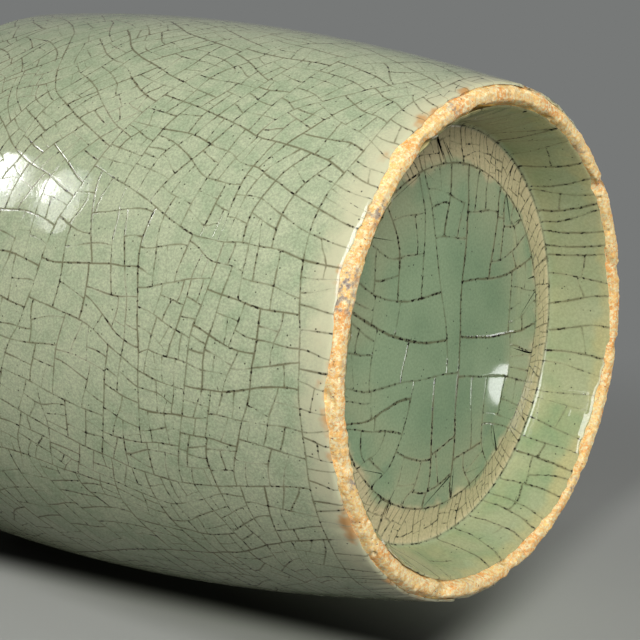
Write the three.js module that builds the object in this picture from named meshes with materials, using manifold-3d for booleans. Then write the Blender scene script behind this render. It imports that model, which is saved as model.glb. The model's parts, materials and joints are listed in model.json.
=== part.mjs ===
// A crackled celadon mallet vase with two phoenix ears, standing on its bare foot ring.
// The sections that a potter throws and moulds apart are luted together: foot ring, floor, barrel,
// shoulder, neck, dish mouth and two ears. Millimetres, +Z up, the origin at the middle of the foot's rest face.
import * as THREE from "three";
import { mergeVertices } from "three/addons/utils/BufferGeometryUtils.js";
import Module from "manifold-3d";

const wasm = await Module();
wasm.setup();

// Barrel and shoulder
const footRadius = 45; // outer radius at the rest face
const bellyRadius = 58; // widest radius
const bellyHeight = 106; // height where the barrel becomes widest
const straightRise = 6; // straight stretch above the widest place
const cornerRadius = 14; // round corner between barrel and shoulder
const shoulderSlope = 0.2; // climb of the shoulder for each millimetre inwards
const rootRise = 5; // last climb of the shoulder into the neck
const quarterPull = 0.55; // a curve's pull on each end that makes a quarter circle

// Neck
const rootRadius = 20; // where the neck leaves the shoulder
const rootLean = 0.35; // how far the neck leans inwards there, for each millimetre up
const waistRadius = 17;
const waistShare = 0.45; // the waist's height up the neck
const rootPull = 8; // length of the stretch that leans in above the shoulder
const waistPull = 28; // length of the waist's upright stretch on each side
const throatRadius = 18.5; // outer radius of the neck under the dish
const neckLength = 104;

// Dish mouth
const dishRadius = 48.5; // outer radius at the lip
const dishFlare = 3; // how much wider the lip is than the dish's corner
const dishClimb = 9; // rise of the dish's underside from the neck to its corner
const dishWallRise = 13; // rise of its wall from there to the lip
const dishRound = 9; // round between the dish's floor and its wall
const throatRound = 9; // round between the neck and the dish's underside
const lipRadius = 2.3;

// Walls and seams
const wall = 5;
const dishWall = 2 * lipRadius;
const slipGap = 0.3; // the seam's clearance between two upright faces
const spigotDepth = 5; // depth of the collar that centres one section in the next
const spigotWall = 1.8;

// Foot and floor
const ringWidth = 4; // width of the bare ring between its outer and inner edge
const edgeRound = 1.1; // worn edges of the rest face
const recessDepth = 12.8; // from the rest face to the recess's corner, where the floor sits on the ring
const recessRadius = 38.3; // radius of the recess at that corner
const bandRadius = 31.2; // inner radius of the sunk band round the recess's floor
const bandDepth = 1.3; // how far the band sinks towards the corner
const floorThickness = 6;
const floorRim = 5; // how far the floor reaches into the wall beyond the recess

// Phoenix ears
const earHeight = 197; // height of an ear's middle
const earLength = 50; // an ear's outlines are drawn in hundredths of it
const earThickness = 9;
const earBevel = 1.6;
const wingThickness = 1.5; // how far a wing stands proud of its side
const wingBevel = 1;
const eyeRadius = 1.5;

const roundSegments = 60;
const curveSteps = 4;
const barrelSteps = 9;

const seamHeight = bellyHeight + straightRise / 2;
const cornerBase = bellyHeight + straightRise;
const cornerTop = cornerBase + cornerRadius;
const slopeRun = bellyRadius - cornerRadius - rootRadius;
const rootHeight = cornerTop + slopeRun * shoulderSlope + rootRise;
const throatHeight = rootHeight + neckLength;
const dishCorner = throatHeight + dishClimb;
const lipHeight = dishCorner + dishWallRise;

const materials = {
  celadon: new THREE.MeshStandardMaterial({ color: 0xa9b794, roughness: 0.25, metalness: 0 }),
  recessGlaze: new THREE.MeshStandardMaterial({ color: 0x839b7c, roughness: 0.12, metalness: 0 }),
  bareClay: new THREE.MeshStandardMaterial({ color: 0xcf9a5f, roughness: 0.9, metalness: 0 }),
};

const point = (radius, height) => new THREE.Vector2(radius, height);

// The barrel's outer radius at a height: a parabola up to the widest place, then straight.
function barrelRadius(height) {
  const below = Math.max(0, 1 - height / bellyHeight);
  return bellyRadius - (bellyRadius - footRadius) * below * below;
}

function barrelLine(from, to) {
  return Array.from({ length: barrelSteps + 1 }, (_, i) => {
    const height = from + ((to - from) * i) / barrelSteps;
    return point(barrelRadius(height), height);
  });
}

// The recess's inner radius at a height under the vase.
function recessWallRadius(height) {
  const ringInner = footRadius - ringWidth;
  return ringInner - ((ringInner - recessRadius) * height) / recessDepth;
}

// The shoulder's outside: a short straight, the round corner, the slope and the hollow under the neck.
function shoulderLine() {
  const pull = cornerRadius * quarterPull;
  const slopeStart = bellyRadius - cornerRadius;
  const path = new THREE.Path();
  path.moveTo(bellyRadius, seamHeight);
  path.lineTo(bellyRadius, cornerBase);
  path.bezierCurveTo(
    bellyRadius,
    cornerBase + pull,
    slopeStart + pull,
    cornerTop - pull * shoulderSlope,
    slopeStart,
    cornerTop,
  );
  path.bezierCurveTo(
    slopeStart - slopeRun / 2,
    cornerTop + (slopeRun / 2) * shoulderSlope,
    rootRadius + rootRise * rootLean,
    rootHeight - rootRise,
    rootRadius,
    rootHeight,
  );
  return path.getPoints(curveSteps + 1);
}

// The neck's outside: drawn in to its waist and opening a little under the dish.
function neckLine() {
  const waistHeight = rootHeight + neckLength * waistShare;
  const path = new THREE.Path();
  path.moveTo(rootRadius, rootHeight);
  path.bezierCurveTo(
    rootRadius - rootPull * rootLean,
    rootHeight + rootPull,
    waistRadius,
    waistHeight - waistPull,
    waistRadius,
    waistHeight,
  );
  path.bezierCurveTo(
    waistRadius,
    waistHeight + waistPull,
    throatRadius - (throatRadius - waistRadius) / 3,
    throatHeight - throatRound,
    throatRadius,
    throatHeight,
  );
  return path.getPoints(curveSteps);
}

// The dish's outline above its seam: underside, wall, round lip, and the inside down to the throat.
function dishLine() {
  const wallFoot = dishRadius - dishFlare;
  const floorHeight = dishCorner + dishWall;
  const innerFoot = wallFoot - dishWall;
  const throatInner = throatRadius - wall;
  const path = new THREE.Path();
  path.moveTo(throatRadius, throatHeight);
  path.bezierCurveTo(
    throatRadius,
    throatHeight + dishClimb / 2,
    throatRadius + throatRound,
    dishCorner - dishClimb / 4,
    wallFoot - dishRound,
    dishCorner - dishClimb / 8,
  );
  path.quadraticCurveTo(wallFoot, dishCorner, wallFoot, dishCorner + dishRound / 2);
  path.lineTo(dishRadius, lipHeight - lipRadius);
  path.absarc(dishRadius - lipRadius, lipHeight - lipRadius, lipRadius, 0, Math.PI);
  path.lineTo(innerFoot, floorHeight + dishRound / 2);
  path.quadraticCurveTo(innerFoot, floorHeight, innerFoot - dishRound, floorHeight - dishClimb / 8);
  path.bezierCurveTo(
    throatInner + throatRound,
    floorHeight - dishClimb / 4,
    throatInner,
    throatHeight + dishClimb / 2,
    throatInner,
    throatHeight,
  );
  return path.getPoints(curveSteps);
}

// A line moved sideways to its left, seen along its run, with each end kept at its own height.
function offsetLine(points, distance) {
  return points.map((p, i) => {
    const before = points[Math.max(0, i - 1)];
    const after = points[Math.min(points.length - 1, i + 1)];
    const along = after.clone().sub(before).normalize();
    const isEnd = i === 0 || i === points.length - 1;
    return point(p.x - along.y * distance, isEnd ? p.y : p.y + along.x * distance);
  });
}

// The collar under a section: its outline from the outer face's foot to the inner face's foot.
function spigot(innerRadius, seam) {
  const tip = seam - spigotDepth + slipGap;
  return [
    point(innerRadius, tip),
    point(innerRadius + spigotWall, tip),
    point(innerRadius + spigotWall, seam),
  ];
}

// The rebate at a section's top that takes the next section's collar, from the seam down.
function rebate(inside, seam) {
  const floor = seam - spigotDepth;
  const side = inside.at(-1).x + spigotWall + slipGap;
  const below = inside.filter((p) => p.y < floor - slipGap);
  return [point(side, seam), point(side, floor), point(below.at(-1).x, floor), ...below.reverse()];
}

function distinct(points) {
  return points.filter((p, i) => i === 0 || p.distanceTo(points[i - 1]) > 0.01);
}

// A closed ring of material with this section of radius and height.
function ring(outline) {
  const closed = distinct(outline);
  if (THREE.ShapeUtils.isClockWise(closed)) closed.reverse();
  closed.push(closed[0].clone());
  const geometry = new THREE.LatheGeometry(closed, roundSegments);
  return geometry.rotateX(Math.PI / 2);
}

// A solid of revolution: its outline starts on the axis underneath and ends on the axis on top.
function disc(outline) {
  return new THREE.LatheGeometry(distinct(outline), roundSegments).rotateX(Math.PI / 2);
}

function toSolid(geometry) {
  const bare = geometry.clone();
  bare.deleteAttribute("normal");
  bare.deleteAttribute("uv");
  const merged = mergeVertices(bare, 1e-3);
  return new wasm.Manifold(
    new wasm.Mesh({
      numProp: 3,
      vertProperties: merged.attributes.position.array,
      triVerts: new Uint32Array(merged.index.array),
    }),
  );
}

function fromSolid(solid) {
  const { vertProperties, triVerts } = solid.getMesh();
  const geometry = new THREE.BufferGeometry();
  geometry.setAttribute("position", new THREE.BufferAttribute(vertProperties, 3));
  geometry.setIndex(new THREE.BufferAttribute(triVerts, 1));
  geometry.computeVertexNormals();
  return geometry;
}

const vase = new THREE.Group();
function add(name, geometry, material) {
  const mesh = new THREE.Mesh(geometry, material.clone());
  mesh.name = name;
  vase.add(mesh);
}

// The foot ring: a flat rest face with worn edges, up to the seam under the floor and the barrel.
function footRing() {
  const ringInner = footRadius - ringWidth;
  const path = new THREE.Path();
  path.moveTo(ringInner + edgeRound, 0);
  path.lineTo(footRadius - edgeRound, 0);
  path.quadraticCurveTo(footRadius, 0, barrelRadius(edgeRound), edgeRound);
  path.lineTo(barrelRadius(recessDepth / 2), recessDepth / 2);
  path.lineTo(barrelRadius(recessDepth), recessDepth);
  path.lineTo(recessRadius, recessDepth);
  path.lineTo(recessWallRadius(edgeRound), edgeRound);
  path.quadraticCurveTo(ringInner, 0, ringInner + edgeRound, 0);
  return ring(path.getPoints(curveSteps));
}

// The floor: its underside stands proud inside a sunk band, and its top is flat.
const floorTop = recessDepth + floorThickness;
const floorRadius = recessRadius + floorRim;
function floorDisc() {
  return disc([
    point(0, recessDepth - bandDepth),
    point(bandRadius, recessDepth - bandDepth),
    point(recessRadius, recessDepth),
    point(floorRadius, recessDepth),
    point(floorRadius, floorTop),
    point(0, floorTop),
  ]);
}

// The barrel: a wall that stands on the ring round the floor and has its even thickness above it.
function barrel() {
  const outside = barrelLine(recessDepth, seamHeight);
  const inside = offsetLine(barrelLine(floorTop + wall, seamHeight), wall);
  const seat = floorRadius + slipGap;
  return ring([
    ...outside,
    ...rebate(inside, seamHeight),
    point(seat, floorTop),
    point(seat, recessDepth),
  ]);
}

// The shoulder, with a collar in the barrel and a rebate for the neck.
function shoulder() {
  const outside = shoulderLine();
  const inside = offsetLine(outside, wall);
  return ring([
    ...outside,
    ...rebate(inside, rootHeight),
    ...spigot(inside[0].x, seamHeight),
  ]);
}

// The neck, with a collar in the shoulder and a rebate for the dish.
function neck() {
  const outside = neckLine();
  const inside = offsetLine(outside, wall);
  return ring([
    ...outside,
    ...rebate(inside, throatHeight),
    ...spigot(inside[0].x, rootHeight),
  ]);
}

function dish() {
  return ring([...dishLine(), ...spigot(throatRadius - wall, throatHeight)]);
}

// A closed outline of curves, each given by its control point and its end, in hundredths of the ear's
// length. It is measured outwards from the neck's waist and up from the ear's middle.
function earOutline(start, ...curves) {
  const unit = earLength / 100;
  const shape = new THREE.Shape();
  shape.moveTo(start[0] * unit, start[1] * unit);
  for (const curve of curves) shape.quadraticCurveTo(...curve.map((value) => value * unit));
  return shape;
}

// The flat side of a phoenix: crest, hooked beak, breast, and a tail that curls out below.
// Its rounded edge lies outside this outline.
const phoenixOutline = earOutline(
  [-10, 34],
  [-4, 48, 11, 50],
  [13, 46, 10, 40],
  [24, 47, 34, 39],
  [45, 37, 47, 25],
  [40, 28, 32, 21],
  [25, 16, 29, 4],
  [34, -8, 26, -21],
  [18, -32, 19, -41],
  [24, -52, 33, -49],
  [31, -57, 19, -57],
  [4, -56, -10, -48],
);

// The flat side of a folded wing: round at its shoulder, pointed at its tip.
const wingOutline = earOutline(
  [18, 2],
  [29, -2, 23, -16],
  [16, -29, 6, -38],
  [4, -20, 8, -9],
  [11, 0, 18, 2],
);
const eyePlace = [33, 33];

// A plate with that flat side, centred on the ear's middle plane and standing up in XZ.
function plate(shape, thickness, bevel) {
  const geometry = new THREE.ExtrudeGeometry(shape, {
    depth: thickness - 2 * bevel,
    bevelThickness: bevel,
    bevelSize: bevel,
    bevelSegments: 2,
    curveSegments: curveSteps,
  });
  return geometry.translate(0, 0, bevel - thickness / 2).rotateX(Math.PI / 2);
}

// An ear: the bird's body with a wing and an eye on both sides, cut to sit on the neck.
function phoenixEar() {
  const [eyeReach, eyeRise] = eyePlace.map((value) => (value * earLength) / 100);
  const eye = new THREE.CapsuleGeometry(eyeRadius, earThickness - eyeRadius, 3, 10);
  const bird = toSolid(plate(phoenixOutline, earThickness, earBevel))
    .add(toSolid(plate(wingOutline, earThickness + 2 * wingThickness, wingBevel)))
    .add(toSolid(eye.translate(eyeReach, 0, eyeRise)));
  const seat = offsetLine(neckLine(), -slipGap);
  const neckSpace = disc([point(0, rootHeight), ...seat, point(0, throatHeight)]);
  return bird.translate([waistRadius, 0, earHeight]).subtract(toSolid(neckSpace));
}

add("foot_ring", footRing(), materials.bareClay);
add("floor_disc", floorDisc(), materials.recessGlaze);
add("barrel", barrel(), materials.celadon);
add("shoulder", shoulder(), materials.celadon);
add("neck", neck(), materials.celadon);
add("dish_mouth", dish(), materials.celadon);
add("phoenix_ear_right", fromSolid(phoenixEar()), materials.celadon);
add("phoenix_ear_left", fromSolid(phoenixEar().rotate([0, 0, 180])), materials.celadon);

export default vase;
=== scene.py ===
"""A crackled celadon mallet vase with phoenix ears, dressed over its frame, and its grey table."""

import bisect
import json
import math
import random

import bmesh
import bpy
from mathutils import Matrix, Vector, noise
from mathutils.geometry import interpolate_bezier

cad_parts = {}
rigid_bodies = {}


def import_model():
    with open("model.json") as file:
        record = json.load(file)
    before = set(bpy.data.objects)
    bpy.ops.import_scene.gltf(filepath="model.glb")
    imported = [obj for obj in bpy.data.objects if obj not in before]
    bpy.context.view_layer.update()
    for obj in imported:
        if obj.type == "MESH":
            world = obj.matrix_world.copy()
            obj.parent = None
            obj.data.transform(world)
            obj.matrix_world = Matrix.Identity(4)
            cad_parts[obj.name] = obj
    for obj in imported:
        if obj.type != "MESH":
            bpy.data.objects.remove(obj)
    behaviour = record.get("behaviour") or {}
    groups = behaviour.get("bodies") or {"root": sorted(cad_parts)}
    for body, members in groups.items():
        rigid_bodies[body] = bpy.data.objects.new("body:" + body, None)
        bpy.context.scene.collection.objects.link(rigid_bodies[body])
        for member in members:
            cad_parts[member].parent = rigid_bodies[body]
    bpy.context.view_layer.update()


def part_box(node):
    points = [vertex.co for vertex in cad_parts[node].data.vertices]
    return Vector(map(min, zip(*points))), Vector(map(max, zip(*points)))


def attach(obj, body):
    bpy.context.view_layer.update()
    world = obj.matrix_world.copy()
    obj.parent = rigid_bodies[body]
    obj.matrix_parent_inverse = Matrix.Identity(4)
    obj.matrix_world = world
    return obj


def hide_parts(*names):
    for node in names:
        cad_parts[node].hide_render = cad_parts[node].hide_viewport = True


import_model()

bl_info = {
    "name": "Phoenix-eared vase",
    "version": (1, 0, 0),
    "blender": (4, 5, 0),
    "location": "View3D > Sidebar > Vase",
    "description": "Builds the glazed surfaces of a crackled celadon vase and its table",
    "category": "Add Mesh",
}

MM = 0.001

# Heights and radii that the frame gives
SEAM_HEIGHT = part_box("barrel")[1].z
BELLY_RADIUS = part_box("barrel")[1].x
RECESS_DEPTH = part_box("foot_ring")[1].z
FLOOR_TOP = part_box("floor_disc")[1].z
FLOOR_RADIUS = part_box("floor_disc")[1].x
ROOT_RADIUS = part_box("neck")[1].x
ROOT_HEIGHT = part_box("shoulder")[1].z
THROAT_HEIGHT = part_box("neck")[1].z
LIP_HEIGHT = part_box("dish_mouth")[1].z
DISH_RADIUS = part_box("dish_mouth")[1].x

# The rest of the driving sizes that the frame was built with
FOOT_RADIUS = 45 * MM
STRAIGHT_RISE = 6 * MM
CORNER_RADIUS = 14 * MM
SHOULDER_SLOPE = 0.2
ROOT_RISE = 5 * MM
QUARTER_PULL = 0.55
ROOT_LEAN = 0.35
ROOT_PULL = 8 * MM
WAIST_RADIUS = 17 * MM
WAIST_SHARE = 0.45
WAIST_PULL = 28 * MM
THROAT_RADIUS = 18.5 * MM
THROAT_ROUND = 9 * MM
DISH_FLARE = 3 * MM
DISH_CLIMB = 9 * MM
DISH_ROUND = 9 * MM
LIP_RADIUS = 2.3 * MM
WALL = 5 * MM
RECESS_RADIUS = 38.3 * MM
BAND_RADIUS = 31.2 * MM
BAND_DEPTH = 1.3 * MM
RING_WIDTH = 4 * MM
BELLY_HEIGHT = SEAM_HEIGHT - STRAIGHT_RISE / 2
CORNER_BASE = BELLY_HEIGHT + STRAIGHT_RISE
CORNER_TOP = CORNER_BASE + CORNER_RADIUS
DISH_CORNER = THROAT_HEIGHT + DISH_CLIMB
FLOOR_UNDERSIDE = RECESS_DEPTH - BAND_DEPTH

# The ears, in hundredths of their length out from the waist and up from their height
EAR_HEIGHT = 197 * MM
EAR_LENGTH = 50 * MM
EAR_THICKNESS = 9 * MM
EAR_ROUND = 1.6 * MM
WING_THICKNESS = 1.5 * MM
WING_ROUND = 1 * MM
EYE = (33, 33)
EYE_RADIUS = 1.5 * MM
EAR_VOXEL = 0.3 * MM
PLUMAGE_DEPTH = 0.5 * MM
PHOENIX = [
    (-10, 34), (-4, 48, 11, 50), (13, 46, 10, 40), (24, 47, 34, 39), (45, 37, 47, 25),
    (40, 28, 32, 21), (25, 16, 29, 4), (34, -8, 26, -21), (18, -32, 19, -41), (24, -52, 33, -49),
    (31, -57, 19, -57), (4, -56, -10, -48),
]
WING = [(18, 2), (29, -2, 23, -16), (16, -29, 6, -38), (4, -20, 8, -9), (11, 0, 18, 2)]

# The glaze coat and its crackle
GLAZE_LINE = 1.4 * MM
GLAZE_COAT = 0.4 * MM
INNER_GLAZE_LINE = 1.0 * MM
UNROLLED_RADIUS = 50 * MM
COLUMNS = 48
CRACK_REACH = 0.36 * MM
WIDE_CRACK_REACH = 0.5 * MM
CRACK_STEP = 1.5 * MM
SQUARENESS = 0.75
SNAP = 0.45 * MM
SHARPEST = math.radians(24)
NARROWEST = 0.55 * MM
SMALL_CELL = 1.1 * MM
# How cracks wander: a drift's wavelength in millimetres, its seed and its reach in millimetres
WANDERING = [(42, 3.1, 6.5), (15, 7.7, 1.7), (4.5, 1.3, 0.3)]
# Places on a sheet that are closer than this are the same
NEAR = 1e-6

# The bare ring's mesh round the foot
CLAY_STEPS = 760

# The camera, as it was fitted to the photographed circles
CAMERA_LENS = 77.6
CAMERA_SENSOR = 36
CAMERA_PLACE = (-0.2043, -0.0278, -0.1268)
CAMERA_RIGHT = (0.63816, -0.07595, -0.76615)
CAMERA_UP = (0.03388, -0.99139, 0.1265)

# The table's rise, for a vase that lies on its belly and its lip
TABLE_SLOPE = 0.0633
STAGE_WIDTH = 8
LAMP_AIM = 0.03
TABLE_NEAR = 0.12
TABLE_FAR = 0.5
FLOOR_NEAR = 0.1
FLOOR_FAR = 0.45

# Each window is a bright core within a wide dim one: azimuth, elevation, share of its power, width, height
WINDOWS = [
    (-51.5, 43.4, 1.0, 0.26, 0.082), (-48.7, 44.3, 1.2, 0.19, 0.053),
    (-56, 37.5, 1.0, 0.31, 0.071), (-52.9, 38.7, 0.45, 0.122, 0.028),
]
# The panes that show only on the recess's wall: elevation, share of their power, height
PANES = [(1.3, 1.0, 0.019), (-1.9, 0.55, 0.02), (-6.2, 0.65, 0.025)]


def bezier(start, pull_start, pull_end, end, steps=24):
    corners = [Vector((*corner, 0)) for corner in (start, pull_start, pull_end, end)]
    return [(p.x, p.y) for p in interpolate_bezier(*corners, steps + 1)]


def quadratic(start, pull, end, steps=16):
    to_start = [start[i] + (pull[i] - start[i]) * 2 / 3 for i in range(2)]
    to_end = [end[i] + (pull[i] - end[i]) * 2 / 3 for i in range(2)]
    return bezier(start, to_start, to_end, end, steps)


def barrel_radius(height):
    """The barrel's outer radius: a parabola up to its widest place, and straight from there."""
    below = max(0.0, 1 - height / BELLY_HEIGHT)
    return BELLY_RADIUS - (BELLY_RADIUS - FOOT_RADIUS) * below * below


def barrel_line():
    """The glaze's rolled lower edge, and the barrel up to the shoulder's corner."""
    edge = quadratic(
        (barrel_radius(GLAZE_LINE) - GLAZE_COAT, GLAZE_LINE + 0.1 * MM),
        (barrel_radius(GLAZE_LINE), GLAZE_LINE - 0.15 * MM),
        (barrel_radius(GLAZE_LINE + 0.6 * MM), GLAZE_LINE + 0.6 * MM),
        8,
    )
    steps = 90
    low = GLAZE_LINE + 1 * MM
    heights = [low + (SEAM_HEIGHT - low) * i / steps for i in range(steps + 1)]
    return [*edge, *((barrel_radius(h), h) for h in heights)]


def shoulder_line():
    pull = CORNER_RADIUS * QUARTER_PULL
    slope_start = BELLY_RADIUS - CORNER_RADIUS
    run = slope_start - ROOT_RADIUS
    corner = bezier(
        (BELLY_RADIUS, CORNER_BASE),
        (BELLY_RADIUS, CORNER_BASE + pull),
        (slope_start + pull, CORNER_TOP - pull * SHOULDER_SLOPE),
        (slope_start, CORNER_TOP),
    )
    slope = bezier(
        (slope_start, CORNER_TOP),
        (slope_start - run / 2, CORNER_TOP + run / 2 * SHOULDER_SLOPE),
        (ROOT_RADIUS + ROOT_RISE * ROOT_LEAN, ROOT_HEIGHT - ROOT_RISE),
        (ROOT_RADIUS, ROOT_HEIGHT),
    )
    return [*corner, *slope[1:]]


def neck_line():
    waist = ROOT_HEIGHT + (THROAT_HEIGHT - ROOT_HEIGHT) * WAIST_SHARE
    lower = bezier(
        (ROOT_RADIUS, ROOT_HEIGHT),
        (ROOT_RADIUS - ROOT_PULL * ROOT_LEAN, ROOT_HEIGHT + ROOT_PULL),
        (WAIST_RADIUS, waist - WAIST_PULL),
        (WAIST_RADIUS, waist),
    )
    upper = bezier(
        (WAIST_RADIUS, waist),
        (WAIST_RADIUS, waist + WAIST_PULL),
        (THROAT_RADIUS - (THROAT_RADIUS - WAIST_RADIUS) / 3, THROAT_HEIGHT - THROAT_ROUND),
        (THROAT_RADIUS, THROAT_HEIGHT),
    )
    return [*lower, *upper[1:]]


def dish_line():
    """The dish's underside, wall and round lip, and its inside down to the throat."""
    wall_foot = DISH_RADIUS - DISH_FLARE
    floor_height = DISH_CORNER + 2 * LIP_RADIUS
    inner_foot = wall_foot - 2 * LIP_RADIUS
    throat_inner = THROAT_RADIUS - WALL
    underside = bezier(
        (THROAT_RADIUS, THROAT_HEIGHT),
        (THROAT_RADIUS, THROAT_HEIGHT + DISH_CLIMB / 2),
        (THROAT_RADIUS + THROAT_ROUND, DISH_CORNER - DISH_CLIMB / 4),
        (wall_foot - DISH_ROUND, DISH_CORNER - DISH_CLIMB / 8),
    )
    corner = quadratic(
        underside[-1], (wall_foot, DISH_CORNER), (wall_foot, DISH_CORNER + DISH_ROUND / 2)
    )
    turns = [math.pi * i / 16 for i in range(17)]
    lip_middle = (DISH_RADIUS - LIP_RADIUS, LIP_HEIGHT - LIP_RADIUS)
    lip = [
        (lip_middle[0] + LIP_RADIUS * math.cos(a), lip_middle[1] + LIP_RADIUS * math.sin(a))
        for a in turns
    ]
    inner_corner = quadratic(
        (inner_foot, floor_height + DISH_ROUND / 2),
        (inner_foot, floor_height),
        (inner_foot - DISH_ROUND, floor_height - DISH_CLIMB / 8),
    )
    floor = bezier(
        inner_corner[-1],
        (throat_inner + THROAT_ROUND, floor_height - DISH_CLIMB / 4),
        (throat_inner, THROAT_HEIGHT + DISH_CLIMB / 2),
        (throat_inner, THROAT_HEIGHT),
    )
    return [*underside, *corner[1:], *lip, *inner_corner, *floor[1:]]


def recess_line():
    """From the bare ring's inner edge up the recess's wall, round its corner and in to the floor."""
    corner = 1.4 * MM
    wall_foot = (FOOT_RADIUS - RING_WIDTH + 0.1 * MM, INNER_GLAZE_LINE)
    edge = quadratic(
        (wall_foot[0] + GLAZE_COAT, wall_foot[1] + 0.1 * MM),
        (wall_foot[0], wall_foot[1] - 0.15 * MM),
        (wall_foot[0] - 0.1 * MM, wall_foot[1] + 0.6 * MM),
        8,
    )
    wall_top = (RECESS_RADIUS + 0.15 * MM, RECESS_DEPTH - corner)
    wall = quadratic(edge[-1], (RECESS_RADIUS + 1.3 * MM, RECESS_DEPTH * 0.5), wall_top)
    bend_end = (RECESS_RADIUS - corner, RECESS_DEPTH - 0.1 * MM)
    bend = quadratic(wall_top, (RECESS_RADIUS, RECESS_DEPTH + 0.1 * MM), bend_end)
    band = quadratic(
        bend_end,
        (BAND_RADIUS + 3 * MM, RECESS_DEPTH - BAND_DEPTH * 0.35),
        (BAND_RADIUS, FLOOR_UNDERSIDE),
    )
    return [*edge, *wall[1:], *bend[1:], *band[1:]]


class Line:
    """A line of radius and height, glazed on its right side, or on its left one where side is -1.

    Its run grows evenly with the turn that it makes round the vase.
    """

    def __init__(self, points, side=1):
        self.points, self.side = [Vector(p) for p in points], side
        self.runs = [0.0]
        for before, after in zip(self.points, self.points[1:]):
            share = UNROLLED_RADIUS / ((before.x + after.x) / 2)
            self.runs.append(self.runs[-1] + (after - before).length * share)
        self.end = self.runs[-1]

    def at(self, run):
        i = min(len(self.runs) - 2, max(0, bisect.bisect_right(self.runs, run) - 1))
        share = (run - self.runs[i]) / (self.runs[i + 1] - self.runs[i])
        return self.points[i].lerp(self.points[i + 1], min(1.0, max(0.0, share)))

    def outward(self, run, radius):
        """The direction to the line's glazed side, smoothed over a short stretch."""
        reach = 0.6 * MM * UNROLLED_RADIUS / radius
        along = self.at(run + reach) - self.at(run - reach)
        return Vector((along.y, -along.x)).normalized() * self.side

    def run_at(self, reached):
        """The run of the first point for which a test holds."""
        return next(run for point, run in zip(self.points, self.runs) if reached(point))

    def bends(self, turn, longest):
        """Runs at which the line has turned by an angle, or run on for a length, since the last."""
        found, angle, length = [], 0.0, 0.0
        for i in range(1, len(self.points) - 1):
            before = self.points[i] - self.points[i - 1]
            after = self.points[i + 1] - self.points[i]
            angle += abs(before.angle_signed(after, 0))
            length += before.length
            if angle > turn or length > longest:
                found.append(self.runs[i])
                angle, length = 0.0, 0.0
        return found


def smooth_step(low, high, value):
    share = min(1.0, max(0.0, (value - low) / (high - low)))
    return share * share * (3 - 2 * share)


def noise_at(place, wavelength, seed):
    return noise.noise(place / wavelength + Vector((seed, seed * 1.7, -seed)))


def drift_at(place, wavelength, seed):
    """A drift on the flat. Its two parts are separate noises, which come out the same in every run."""
    return Vector((noise_at(place, wavelength, seed), noise_at(place, wavelength, seed + 31)))


def inside(point, outline):
    """Whether a point lies within a closed outline on the flat."""
    crossed = False
    for i, end in enumerate(outline):
        start = outline[i - 1]
        if (start.y > point.y) != (end.y > point.y):
            reach = start.x + (point.y - start.y) * (end.x - start.x) / (end.y - start.y)
            crossed ^= point.x < reach
    return crossed


# Crackle: a flat sheet of glaze is cut crack by crack, and then laid on the vase


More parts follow.
